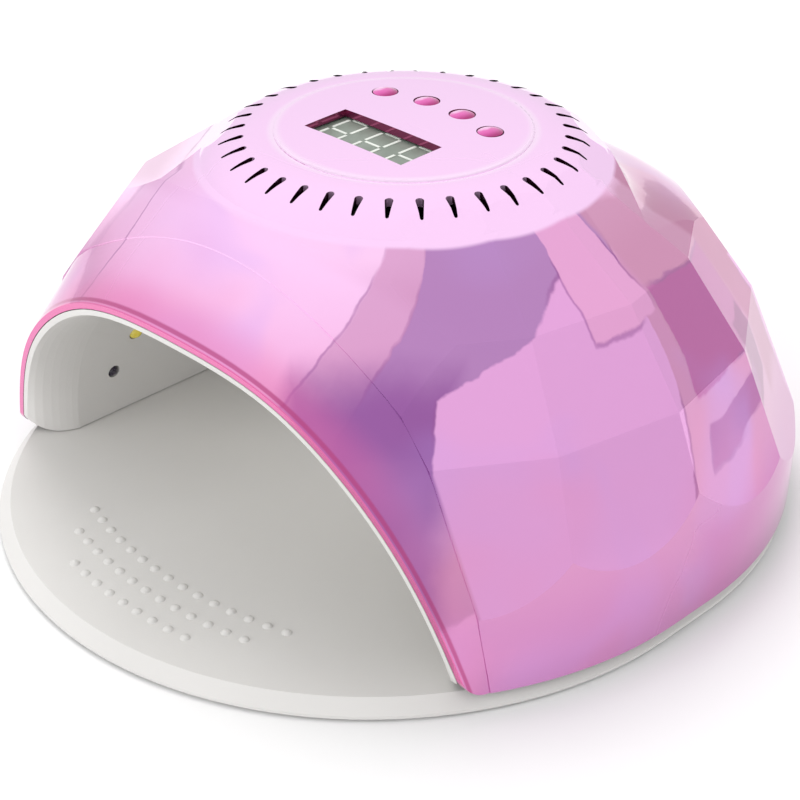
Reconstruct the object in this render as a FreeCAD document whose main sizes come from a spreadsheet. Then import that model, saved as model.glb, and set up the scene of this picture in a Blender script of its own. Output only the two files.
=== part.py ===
import FreeCAD, Part
import math
import os

import Sketcher
from FreeCAD import Placement, Rotation, Vector

# UV LED nail lamp, millimetres. Lamp frame: x to the right, y to the back (the hand goes in at -y),
# z up from the underside of the base plate, with the vertical dome axis at x = y = 0. Every sub-part is
# then placed by the same shift, which puts the origin under the middle of the object, on the table.

doc = FreeCAD.newDocument("nail_lamp")
sheet = doc.addObject("Spreadsheet::Sheet", "Sizes")

SIZES = [
    # where the lamp frame sits in the part's own frame
    ("dome_offset", 2.64, "dome axis behind the origin"),
    ("foot_height", 1.0, "rubber feet below the plate"),
    # base plate
    ("plate_radius", 112.6, "end radius of the stadium outline"),
    ("plate_front", 13.0, "front end centre, ahead of the dome axis"),
    ("plate_rear", 6.0, "rear end centre, behind the dome axis"),
    ("plate_thick", 4.5, "plate thickness"),
    ("plate_bevel", 3.6, "rim bevel"),
    ("nub_radius", 1.70, "raised nub radius"),
    ("nub_sink", 0.80, "nub centre below the plate's top"),
    ("foot_radius", 6.0, "rubber foot radius"),
    ("foot_recess", 0.6, "foot recess in the plate"),
    ("disc_radius", 6.0, "magnet and keeper disc radius"),
    ("disc_thick", 1.5, "keeper disc thickness"),
    ("magnet_thick", 2.4, "magnet thickness"),
    # outer shell
    ("foot_end_radius", 113.7, "radius of the shell's foot outline"),
    ("foot_front", 10.2, "front centre of that outline, ahead of the dome axis"),
    ("foot_rear", 6.0, "rear centre of that outline, behind the dome axis"),
    ("shell_floor", 4.8, "height of the shell's lower edge"),
    ("shell_wall", 2.5, "shell wall"),
    ("edge_wall", 1.8, "shell wall at the arch edge"),
    ("crease_front", 67.0, "plane where the smooth visor starts"),
    ("arch_front", 73.5, "arch edge plane ahead of the axis, at the foot"),
    ("arch_lean", 0.17, "forward lean of the arch edge plane"),
    ("arch_base", 4.0, "height where the lean starts"),
    ("foot_round", 8.0, "round of the arch's foot corners"),
    ("cone_back", 20.0, "axis of the front cone, behind the dome axis"),
    ("cone_radius", 78.0, "front cone radius at the cap edge"),
    ("cone_slope", 1.0, "front cone widening per unit of drop"),
    ("cap_radius", 57.6, "cap edge radius"),
    ("cap_edge", 105.2, "cap edge height"),
    ("disc_edge", 36.8, "raised panel disc radius"),
    ("disc_rim", 112.9, "raised panel disc height at its edge"),
    ("disc_top", 113.8, "raised panel disc height at its middle"),
    ("vent_inner", 46.2, "vent wide end, distance from the axis"),
    ("vent_outer", 51.8, "vent narrow end, distance from the axis"),
    ("vent_wide", 1.15, "vent radius at its wide end"),
    ("vent_narrow", 0.50, "vent radius at its narrow end"),
    ("vent_count", 36, "number of vents"),
    # display and buttons
    ("window_long", 38.2, "display window along x"),
    ("window_wide", 15.9, "display window along y"),
    ("window_mid", -12.45, "display window centre, y"),
    ("display_gap", 0.6, "gap between the window's frame and the display's face"),
    ("display_long", 41.0, "display module along x"),
    ("display_wide", 19.4, "display module along y"),
    ("display_tall", 9.7, "display module height"),
    ("digit_pitch", 13.2, "digit spacing"),
    ("digit_wide", 7.2, "digit width"),
    ("digit_tall", 16.4, "digit height"),
    ("bar_wide", 0.9, "segment width"),
    ("bar_tall", 0.2, "segment height above the face"),
    ("button_radius", 3.6, "button cap radius"),
    ("button_gap", 0.3, "clearance round a button"),
    ("button_flange", 4.8, "button flange radius"),
    ("button_travel", 0.6, "button travel"),
    ("plunger_radius", 1.75, "switch plunger radius"),
    # control board
    ("board_long", 84.0, "board along x"),
    ("board_wide", 58.0, "board along y"),
    ("board_thick", 1.6, "board thickness"),
    ("board_top", 101.2, "height of the board's top face"),
    ("pillar_x", 34.0, "board pillar, x"),
    ("pillar_y", 21.0, "board pillar, y"),
    ("pillar_radius", 3.0, "board pillar radius"),
    ("board_screw", 1.1, "board screw shank radius"),
    ("shell_screw", 1.4, "shell screw shank radius"),
    ("boss_radius", 3.6, "shell screw boss radius"),
    # liner
    ("liner_wall", 2.2, "liner wall"),
    ("liner_gap", 0.25, "gap between liner and shell"),
    ("flange_thick", 3.0, "liner flange thickness"),
    ("tunnel_half", 82.0, "tunnel half width"),
    ("tunnel_top", 72.0, "tunnel ceiling height"),
    ("tunnel_power", 2.3, "tunnel superellipse exponent"),
    ("tunnel_front", 62.0, "front end of the straight tunnel"),
    ("tunnel_back", 10.0, "centre of the tunnel's round back"),
    # lamps and hand sensor
    ("lamp_radius", 2.5, "lamp dome radius"),
    ("chip_side", 3.5, "lamp chip side"),
    ("chip_thick", 0.8, "lamp chip thickness"),
    ("strip_thick", 0.8, "lamp strip thickness"),
    ("strip_wide", 10.0, "lamp strip width"),
    ("sensor_radius", 2.0, "sensor lens radius"),
    ("sensor_y", -48.0, "sensor position, y"),
    ("sensor_z", 20.0, "sensor position, z"),
    # inlet
    ("jack_z", 17.0, "inlet axis height"),
    ("jack_seat", 113.6, "inlet flange seat, y"),
    ("jack_thread", 3.9, "inlet barrel radius"),
    ("jack_bore", 2.8, "inlet bore radius"),
    ("lead_radius", 0.8, "internal lead radius"),
]

for line_number, (alias, number, meaning) in enumerate(SIZES, start=1):
    sheet.set(f"A{line_number}", meaning)
    sheet.set(f"B{line_number}", str(number))
    sheet.setAlias(f"B{line_number}", alias)
doc.recompute()


def size(alias):
    return float(sheet.get(alias))


SUB_PARTS = []


def publish(feature, label):
    """Name a finished sub-part and shift it from the lamp frame to the part's frame."""
    feature.Label = label
    bound = {path.lstrip("."): text for path, text in feature.ExpressionEngine}
    for axis, shift in (("y", "dome_offset"), ("z", "foot_height")):
        prop = f"Placement.Base.{axis}"
        place = bound.get(prop, getattr(feature.Placement.Base, axis))
        feature.setExpression(prop, f"{place} + Sizes.{shift}")
    SUB_PARTS.append(feature)
    return feature


def publish_shape(shape, label):
    """Make a sub-part from a shape that Part's own functions built."""
    feature = doc.addObject("Part::Feature", label)
    feature.Shape = shape
    return publish(feature, label)


def primitive(kind, name, place=None, **sizes):
    """A Part primitive whose sizes are expressions on the sheet."""
    feature = doc.addObject(f"Part::{kind}", name)
    for prop, expression in sizes.items():
        feature.setExpression(prop, expression)
    feature.Placement = place or Placement()
    return feature


def at(x, y, z, axis=Vector(0, 0, 1)):
    """A placement at a point whose local z points along an axis."""
    return Placement(Vector(x, y, z), Rotation(Vector(0, 0, 1), axis))


def box(name, x, y, z, long_x, long_y, long_z):
    """A box centred on x and y that stands on z; its sizes are expressions."""
    feature = primitive("Box", name, Length=long_x, Width=long_y, Height=long_z)
    feature.setExpression("Placement.Base.x", f"{x} - ({long_x}) / 2")
    feature.setExpression("Placement.Base.y", f"{y} - ({long_y}) / 2")
    feature.setExpression("Placement.Base.z", f"{z}")
    return feature


def cylinder(name, place, radius, height):
    return primitive("Cylinder", name, place, Radius=radius, Height=height)


def group(name, pieces):
    feature = doc.addObject("Part::Compound", name)
    feature.Links = pieces
    return feature


def fuse(name, pieces):
    feature = doc.addObject("Part::MultiFuse", name)
    feature.Shapes = pieces
    return feature


def cut(name, base, tool):
    feature = doc.addObject("Part::Cut", name)
    feature.Base = base
    feature.Tool = tool
    return feature


# Places that several sub-parts share -------------------------------------------------------------------

MAGNETS = [(side * x, y) for side in (-1, 1) for x, y in ((98.0, -24.0), (70.0, 72.0))]
SCREWS = [(side * x, y) for side in (-1, 1) for x, y in ((100.0, -44.0), (105.5, 8.0), (46.0, 101.0))]
FEET = [(side * x, y) for side in (-1, 1) for x, y in ((60.0, -88.0), (99.0, 0.0), (58.0, 84.0))]
PILLARS = [(sx * size("pillar_x"), sy * size("pillar_y")) for sx in (-1, 1) for sy in (-1, 1)]
BUTTONS = [(-20.8, 13.1), (-7.0, 16.3), (7.0, 16.3), (20.8, 13.1)]
FACE_TOP = size("board_top") + size("display_tall")
PANEL_TOP = 113.3    # height of the raised panel at the buttons
FAR = 300.0          # longer than the whole lamp, for cutters and trimming boxes
BELOW = -20.0        # well under the lamp
ABOVE = 150.0        # well over the lamp


# Free-form outer surface of the lamp -------------------------------------------------------------------

# radius and height of the rows of corners between the facets, from the top down
GEM_PROFILE = [(58.0, 105.2), (84.0, 87.7), (102.1, 62.4), (119.5, 20.0)]
GEM_STEP = math.radians(22.5)
GEM_FLAT = math.cos(GEM_STEP / 2)
GEM_FIRST_CORNER = 3
GEM_CORNERS = 11
GEM_RISE = 12.0      # the top row of facets runs on this far up, past the cap
GEM_DROP = 30.0      # the lowest row runs on this far down, past the floor
# stadium sections that round the facets off towards the foot: height, radius, front and rear centres
DOME_SECTIONS = [
    (-4.0, 113.4, -11.0, 6.5),
    (size("shell_floor"), size("foot_end_radius"), -size("foot_front"), size("foot_rear")),
    (20.0, 113.2, -5.0, 7.5),
    (34.0, 112.0, -3.0, 7.5),
    (48.0, 109.2, -2.0, 5.5),
    (62.4, 104.5, -2.0, 1.0),
    (88.0, 93.0, -16.1, -16.0),
    (118.0, 74.0, -20.1, -20.0),
]
# right half of the arch edge seen from the front, x and height
ARCH_POINTS = [(97.4, 4.0), (91.6, 20.0), (81.4, 40.0), (63.3, 60.0), (41.0, 73.2), (0.0, 78.5)]
RAYS = 40            # points round an arch-shaped section
CREASE_STEP = 0.3    # the visor starts this far inside the body's outline
# radius and height on the cap, from the panel's edge to the cap's edge
CAP_SHOULDER = [(37.0, 112.2), (46.2, 111.2), (52.5, 108.9)]
CAP_MIDDLE = 112.5
BROW_REACH = 170.0   # the cap's slope runs on past the whole lamp
BROW_SLOPE = 0.6
DISC_SOFT = 0.7      # round of the raised disc's edge


def offset_profile(points, inset):
    """Move a convex profile of radius and height inwards by the wall, keeping its corners sharp."""
    lines = []
    for (r1, z1), (r2, z2) in zip(points, points[1:]):
        length = math.hypot(r2 - r1, z2 - z1)
        out_r, out_z = (z1 - z2) / length, (r2 - r1) / length
        lines.append((out_r, out_z, out_r * r1 + out_z * z1 - inset))
    first, last = lines[0], lines[-1]
    result = [((first[2] - first[1] * points[0][1]) / first[0], points[0][1])]
    for (a1, b1, c1), (a2, b2, c2) in zip(lines, lines[1:]):
        det = a1 * b2 - a2 * b1
        result.append(((c1 * b2 - c2 * b1) / det, (a1 * c2 - a2 * c1) / det))
    result.append(((last[2] - last[1] * points[-1][1]) / last[0], points[-1][1]))
    return result


def gem(inset):
    """Sixteen-sided faceted body; the two front columns run on until they meet ahead of the lamp."""
    rows = offset_profile([(radius * GEM_FLAT, height) for radius, height in GEM_PROFILE], inset)
    (top_flat, top_height), (second_flat, second_height) = rows[:2]
    top_slope = (second_flat - top_flat) / (top_height - second_height)
    (above_flat, above_height), (last_flat, last_height) = rows[-2:]
    foot_slope = (last_flat - above_flat) / (above_height - last_height)
    rows[0] = (top_flat - top_slope * GEM_RISE, top_height + GEM_RISE)
    rows.append((last_flat + foot_slope * GEM_DROP, last_height - GEM_DROP))
    ring = [(GEM_FIRST_CORNER + k) * GEM_STEP for k in range(GEM_CORNERS)]
    wires = []
    for flat, height in rows:
        radius = flat / GEM_FLAT
        corners = [Vector(radius * math.sin(a), -radius * math.cos(a), height) for a in ring]
        corners.append(Vector(0, -flat / math.cos((GEM_FIRST_CORNER - 0.5) * GEM_STEP), height))
        wires.append(Part.makePolygon(corners + corners[:1]))
    solids = [Part.makeLoft([lower, upper], True, True) for upper, lower in zip(wires, wires[1:])]
    return solids[0].multiFuse(solids[1:]).removeSplitter()


def stadium_wire(radius, front, rear, height):
    """Two half circles joined by straight sides."""
    right_front, right_rear = Vector(radius, front, height), Vector(radius, rear, height)
    left_front, left_rear = Vector(-radius, front, height), Vector(-radius, rear, height)
    return Part.Wire([
        line(right_front, right_rear),
        arc(right_rear, Vector(0, rear + radius, height), left_rear),
        line(left_rear, left_front),
        arc(left_front, Vector(0, front - radius, height), right_front),
    ])


def dome(inset):
    wires = [stadium_wire(r - inset, front, rear, z) for z, r, front, rear in DOME_SECTIONS]
    return Part.makeLoft(wires, True, False)


def front_cone(inset):
    """Smooth front panel: a cone whose upright axis stands behind the dome axis."""
    slope = size("cone_slope")
    sideways = inset * math.hypot(1.0, slope)
    low, high = [size("cone_radius") + (size("cap_edge") - z) * slope - sideways for z in (BELOW, ABOVE)]
    return Part.makeCone(low, high, ABOVE - BELOW, Vector(0, size("cone_back"), BELOW))


def line(start, end):
    return Part.LineSegment(start, end).toShape()


def arc(start, middle, end):
    return Part.Arc(start, middle, end).toShape()


def spline(points):
    curve = Part.BSplineCurve()
    curve.interpolate(points)
    return curve.toShape()


def turn_about_z(edges, degrees=360, middle=Vector()):
    """Solid of revolution from the closed outline of its right half."""
    return Part.Face(Part.Wire(edges)).revolve(middle, Vector(0, 0, 1), degrees)


def cap(inset, with_disc):
    """Smooth top: a rounded shoulder from the vent ring to the cap edge, and a raised panel disc."""
    edge_r, edge_z = size("cap_radius"), size("cap_edge") - inset
    shoulder = [Vector(radius, 0, height - inset) for radius, height in CAP_SHOULDER]
    shoulder.append(Vector(edge_r, 0, edge_z))
    middle = Vector(0, 0, CAP_MIDDLE - inset)
    brow = Vector(BROW_REACH, 0, edge_z - (BROW_REACH - edge_r) * BROW_SLOPE)
    floor_far, floor_middle = Vector(BROW_REACH, 0, BELOW), Vector(0, 0, BELOW)
    body = turn_about_z([
        line(floor_middle, middle),
        line(middle, shoulder[0]),
        spline(shoulder),
        line(shoulder[-1], brow),
        line(brow, floor_far),
        line(floor_far, floor_middle),
    ])
    if not with_disc:
        return body
    rim_r, rim_z, top_z = size("disc_edge"), size("disc_rim"), size("disc_top")
    seat = size("cap_edge")
    crown = Vector(0, 0, top_z)
    swell = Vector(rim_r / 2, 0, top_z - 0.22 * (top_z - rim_z))
    shoulder_in = Vector(rim_r - DISC_SOFT, 0, rim_z)
    shoulder_mid = Vector(rim_r - DISC_SOFT * 0.25, 0, rim_z - DISC_SOFT * 0.3)
    shoulder_out = Vector(rim_r, 0, rim_z - DISC_SOFT)
    foot_out, foot_middle = Vector(rim_r, 0, seat), Vector(0, 0, seat)
    disc = turn_about_z([
        line(foot_middle, crown),
        arc(crown, swell, shoulder_in),
        arc(shoulder_in, shoulder_mid, shoulder_out),
        line(shoulder_out, foot_out),
        line(foot_out, foot_middle),
    ])
    return body.fuse(disc)


def polar_table(points, floor):
    """Angle and radius of outline points about the middle of the floor, sorted by angle."""
    return sorted((math.atan2(p.z - floor, p.x), math.hypot(p.x, p.z - floor)) for p in points)


def polar_radius(table, angle):
    """Radius of an outline at an angle, between the table's neighbouring points."""
    for (a1, r1), (a2, r2) in zip(table, table[1:]):
        if a1 <= angle <= a2 and a2 > a1:
            return r1 + (r2 - r1) * (angle - a1) / (a2 - a1)
    return table[0][1] if angle < table[0][0] else table[-1][1]


def arch_table(floor):
    """Outline of the shell's arch edge, seen from the front."""
    right = [Vector(x, 0, z) for x, z in ARCH_POINTS]
    left = [Vector(-p.x, 0, p.z) for p in reversed(right[:-1])]
    return polar_table(spline(right + left).discretize(400), floor)


def superellipse_radius(angle, grow):
    """Radius of the tunnel's section at an angle above its floor, grown by a wall."""
    half = size("tunnel_half") + grow
    tall = size("tunnel_top") - size("shell_floor") + grow
    power = size("tunnel_power")
    return (
        (abs(math.cos(angle)) / half) ** power + (abs(math.sin(angle)) / tall) ** power
    ) ** (-1 / power)


def arch_wire(radius_at, plane_at, floor):
    """Closed arch outline: radius_at gives the radius by angle, plane_at the y by height."""
    points = []
    for k in range(RAYS + 1):
        angle = math.pi * k / RAYS
        radius = radius_at(angle)
        height = floor + radius * math.sin(angle)
        points.append(Vector(radius * math.cos(angle), plane_at(height), height))
    return Part.Wire([spline(points), line(points[-1], points[0])])


def arch_plane(height):
    return -size("arch_front") - size("arch_lean") * (height - size("arch_base"))


def lamp_form(inset, floor, edge_inset, with_disc=False):
    """The lamp's outer form, moved inwards by inset: faceted body, and the visor up to the arch edge."""
    crease_y = -size("crease_front")
    keep = Part.makeBox(FAR, FAR, FAR, Vector(-FAR / 2, crease_y, floor))
    body = gem(inset).common(dome(inset)).common(front_cone(inset)).common(cap(inset, with_disc))
    body = body.common(keep)
    section = body.slice(Vector(0, 1, 0), crease_y + 0.01)
    outline = max(section, key=lambda wire: wire.BoundBox.DiagonalLength)
    crease = polar_table([p for p in outline.discretize(600) if p.z > floor + 0.01], floor)
    edge = arch_table(floor)
    visor = Part.makeLoft(
        [
            arch_wire(lambda a: polar_radius(crease, a) - CREASE_STEP, lambda z: crease_y, floor),
            arch_wire(lambda a: polar_radius(edge, a) - edge_inset, arch_plane, floor),
        ],
        True,
        True,
    )
    return body.fuse(visor)


def foot_rounder():
    """Cutter that rounds the lower front corners beside the arch."""
    radius, floor = size("foot_round"), size("shell_floor")
    front = arch_plane(floor + radius)
    block_deep, under = 40, 10
    block = Part.makeBox(
        FAR, block_deep, radius + under, Vector(-FAR / 2, front + radius - block_deep, floor - under)
    )
    drum = Part.makeCylinder(
        radius, FAR, Vector(-FAR / 2, front + radius, floor + radius), Vector(1, 0, 0)
    )
    return block.cut(drum)


def forward_prism(edge_inset, floor):
    """Everything ahead of the arch edge, inside its outline."""
    edge = arch_table(floor)
    wire = arch_wire(lambda a: polar_radius(edge, a) - edge_inset, arch_plane, floor)
    return Part.Face(wire).extrude(Vector(0, -30, 0))


# Outer shell -------------------------------------------------------------------------------------------


VENT_LOW = 100.0
PILLAR_HOLE = 6.0    # depth of a board pillar's screw hole
BOSS_TALL = 14.0     # depth of a shell screw's hole above the liner's flange
RIB_LONG, RIB_WIDE, RIB_TALL = 9.0, 2.0, 12.0
PAD_RADIUS, PAD_THICK = 8.5, 8.0
INLET_RECESS = 6.2
BACK = Vector(0, 1, 0)


def vent_cutter():
    """One teardrop slot, wide towards the middle of the top."""
    r1, r2 = size("vent_wide"), size("vent_narrow")
    x1, x2 = size("vent_inner"), size("vent_outer")
    turn = math.acos((r1 - r2) / (x2 - x1))
    a_up = Vector(x1 + r1 * math.cos(turn), r1 * math.sin(turn), VENT_LOW)
    b_up = Vector(x2 + r2 * math.cos(turn), r2 * math.sin(turn), VENT_LOW)
    a_down, b_down = Vector(a_up.x, -a_up.y, VENT_LOW), Vector(b_up.x, -b_up.y, VENT_LOW)
    wire = Part.Wire([
        arc(a_up, Vector(x1 - r1, 0, VENT_LOW), a_down),
        line(a_down, b_down),
        arc(b_down, Vector(x2 + r2, 0, VENT_LOW), b_up),
        line(b_up, a_up),
    ])
    return Part.Face(wire).extrude(Vector(0, 0, 20))


def turned(shape, degrees):
    copy = shape.copy()
    copy.rotate(Vector(), Vector(0, 0, 1), degrees)
    return copy


def upright(radius, x, y, low, high):
    return Part.makeCylinder(radius, high - low, Vector(x, y, low))


def centred_box(x, y, low, high, long_x, long_y):
    return Part.makeBox(long_x, long_y, high - low, Vector(x - long_x / 2, y - long_y / 2, low))


def shell_screw_top():
    """Height where the shell screws' holes end."""
    return size("shell_floor") + size("flange_thick") + BOSS_TALL


def shell_fittings():
    """Pillars, screw bosses with ribs and the inlet's pad, before trimming to the shell."""
    boss_low = size("shell_floor") + size("flange_thick")
    solids = [upright(size("pillar_radius"), x, y, size("board_top"), PANEL_TOP - 1) for x, y in PILLARS]
    for x, y in SCREWS:
        solids.append(upright(size("boss_radius"), x, y, boss_low, shell_screw_top() + 3))
        rib = Part.makeBox(RIB_LONG, RIB_WIDE, RIB_TALL, Vector(0, -RIB_WIDE / 2, boss_low + 2))
        rib.rotate(Vector(), Vector(0, 0, 1), math.degrees(math.atan2(y, x)))
        solids.append(rib.translated(Vector(x, y, 0)))
    pad_front = Vector(0, size("jack_seat") - PAD_THICK / 2, size("jack_z"))
    solids.append(Part.makeCylinder(PAD_RADIUS, PAD_THICK, pad_front, BACK))
    return solids[0].multiFuse(solids[1:])


POCKET_PLAY = 0.6    # how much longer and wider than the display its pocket is


def shell_holes():
    """Vents, window with the display's pocket, button holes, screw holes and the inlet's opening."""
    vents = int(size("vent_count"))
    seat, boss_low = size("board_top"), size("shell_floor") + size("flange_thick")
    hole_radius = size("button_radius") + size("button_gap")
    inlet = Vector(0, size("jack_seat"), size("jack_z"))
    holes = [turned(vent_cutter(), -90 + 360 / vents * k) for k in range(vents)]
    holes.append(centred_box(
        0, size("window_mid"), FACE_TOP, PANEL_TOP + 5, size("window_long"), size("window_wide")
    ))
    holes.append(centred_box(
        0, size("window_mid"), seat, FACE_TOP + size("display_gap"),
        size("display_long") + POCKET_PLAY, size("display_wide") + POCKET_PLAY
    ))
    holes += [upright(hole_radius, x, y, PANEL_TOP - 8, PANEL_TOP + 5) for x, y in BUTTONS]
    holes += [upright(size("board_screw"), x, y, seat - 1, seat + PILLAR_HOLE) for x, y in PILLARS]
    holes += [upright(size("shell_screw"), x, y, boss_low - 1, shell_screw_top()) for x, y in SCREWS]
    holes.append(Part.makeCylinder(INLET_RECESS, 20, inlet, BACK))
    holes.append(Part.makeCylinder(size("jack_thread") + 0.1, 30, inlet - BACK * 10, BACK))
    return Part.makeCompound(holes)


def build_outer_shell(outer):
    floor, wall, edge = size("shell_floor"), size("shell_wall"), size("edge_wall")
    cavity = lamp_form(wall, floor - 1, edge).fuse(forward_prism(edge, floor - 1))
    shell = outer.cut(cavity).fuse(shell_fittings().common(outer))
    shell = shell.cut(shell_holes()).cut(foot_rounder())
    return max(shell.Solids, key=lambda solid: solid.Volume).removeSplitter()


# Inner liner -------------------------------------------------------------------------------------------


LAMP_ROWS = [("front", -41.0, 9), ("middle", -17.0, 9), ("rear", 4.0, 9)]
LAMP_FIRST = 20.0    # first lamp of a row, degrees above the tunnel's floor
# steps of the flare: share of the way out to the edge's outline, share of the way forward
FLARE_STEPS = [
    (0.0, 0.0), (0.05, 0.15), (0.13, 0.30), (0.23, 0.45), (0.36, 0.60), (0.54, 0.76), (0.76, 0.90), (1.0, 1.0)
]
LIP_THICK = 1.8
FLANGE_CLEAR = 1.4   # the shell's front draws in this much over the flange's height
SCREW_HEAD_WELL = 3.2


def tunnel(grow, floor):
    """Straight arch tunnel with a domed back."""
    front, back = size("tunnel_front"), size("tunnel_back")
    wire = arch_wire(lambda a: superellipse_radius(a, grow), lambda z: -front, floor)
    straight = Part.Face(wire).extrude(Vector(0, front + back, 0))
    points = []
    for k in range(RAYS // 2 + 1):
        angle = math.pi * k / RAYS
        radius = superellipse_radius(angle, grow)
        points.append(Vector(radius * math.cos(angle), back, floor + radius * math.sin(angle)))
    points[-1].x = 0.0
    middle = Vector(0, back, floor)
    half = [spline(points), line(points[-1], middle), line(middle, points[0])]
    round_back = turn_about_z(half, 180, middle)
    return straight.fuse(round_back)


def flare_wire(grow, edge_inset, floor, outward, forward):
    """Outline part of the way from the tunnel's front end to the arch edge."""
    front = size("tunnel_front")
    edge = arch_table(floor)

    def radius_at(angle):
        near = superellipse_radius(angle, grow)
        return near + (polar_radius(edge, angle) - edge_inset - near) * outward

    def plane_at(height):
        return -front + (arch_plane(height) + front) * forward

    return arch_wire(radius_at, plane_at, floor)


def lip(grow, edge_inset, floor):
    """Flared mouth from the tunnel to the arch edge; the flare opens fastest near the edge."""
    wires = [flare_wire(grow, edge_inset, floor, out, forward) for out, forward in FLARE_STEPS]
    return Part.makeLoft(wires, True, True)


def lamp_angles(count):
    """Angles above the tunnel's floor where one row of lamps sits."""
    return [math.radians(LAMP_FIRST + (180 - 2 * LAMP_FIRST) * k / (count - 1)) for k in range(count)]


def section_point(angle):
    """Point on the tunnel's section at an angle above its floor."""
    radius = superellipse_radius(angle, 0.0)
    return Vector(radius * math.cos(angle), 0, size("shell_floor") + radius * math.sin(angle))


def wall_point(angle):
    """Point on the tunnel's section and the outward normal there, in x and z."""
    step = 1e-3
    along = section_point(angle + step) - section_point(angle - step)
    return section_point(angle), Vector(along.z, 0, -along.x).normalize()


def lamp_places():
    """Point on the tunnel wall and outward normal of every lamp."""
    places = []
    for _, y, count in LAMP_ROWS:
        for angle in lamp_angles(count):
            here, normal = wall_point(angle)
            places.append((Vector(here.x, y, here.z), normal))
    return places


def liner_holes():
    """Holes for the lamps, the hand sensor, the screws with their heads, and the magnets."""
    floor = size("shell_floor")
    holes = []
    for here, normal in lamp_places():
        holes.append(Part.makeCylinder(size("lamp_radius") + 0.2, 12, here - normal * 6, normal))
    for side in (-1, 1):
        start = Vector(side * (size("tunnel_half") - 8), size("sensor_y"), size("sensor_z"))
        holes.append(Part.makeCylinder(size("sensor_radius") + 0.15, 16, start, Vector(side, 0, 0)))
    for x, y in SCREWS:
        holes.append(upright(size("shell_screw") + 0.3, x, y, floor - 1, floor + 9))
        holes.append(upright(SCREW_HEAD_WELL, x, y, floor - 1, floor + 1.8))
    for x, y in MAGNETS:
        well_top = floor + size("magnet_thick") - 0.3
        holes.append(upright(size("disc_radius") + 0.1, x, y, floor - 1, well_top))
    return Part.makeCompound(holes)


def build_inner_liner():
    """White tunnel, flared mouth and the foot flange that closes the shell."""
    floor, wall, gap = size("shell_floor"), size("liner_wall"), size("liner_gap")
    edge = size("edge_wall") + gap
    flange_radius = size("foot_end_radius") - size("shell_wall") - gap
    front = FLANGE_CLEAR - size("foot_front")
    outline = stadium_wire(flange_radius, front, size("foot_rear"), floor)
    flange = Part.Face(outline).extrude(Vector(0, 0, size("flange_thick")))
    behind_crease = Part.makeBox(FAR, FAR, FAR, Vector(-FAR / 2, 0.5 - size("crease_front"), floor))
    body = tunnel(wall, floor).multiFuse([lip(wall, edge, floor), flange.common(behind_crease)])
    hollow = tunnel(0.0, floor - 0.5).fuse(lip(0.0, edge + LIP_THICK, floor - 0.5))
    liner = body.cut(hollow).cut(liner_holes()).cut(foot_rounder())
    return max(liner.Solids, key=lambda solid: solid.Volume)


outer_form = lamp_form(0.0, size("shell_floor"), 0.0, with_disc=True)
publish_shape(build_outer_shell(outer_form), "outer_shell")
publish_shape(build_inner_liner(), "inner_liner")


# Base plate, its feet and its keeper discs ---------------------------------------------------------------


NUB_CENTRE = 43.7    # common centre of the nub rows, behind the dome axis
NUB_PITCH = 6.1
NUB_ROWS = [(137.0, 15), (145.1, 13), (153.1, 9)]    # radius of each row and its number of nubs


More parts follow.
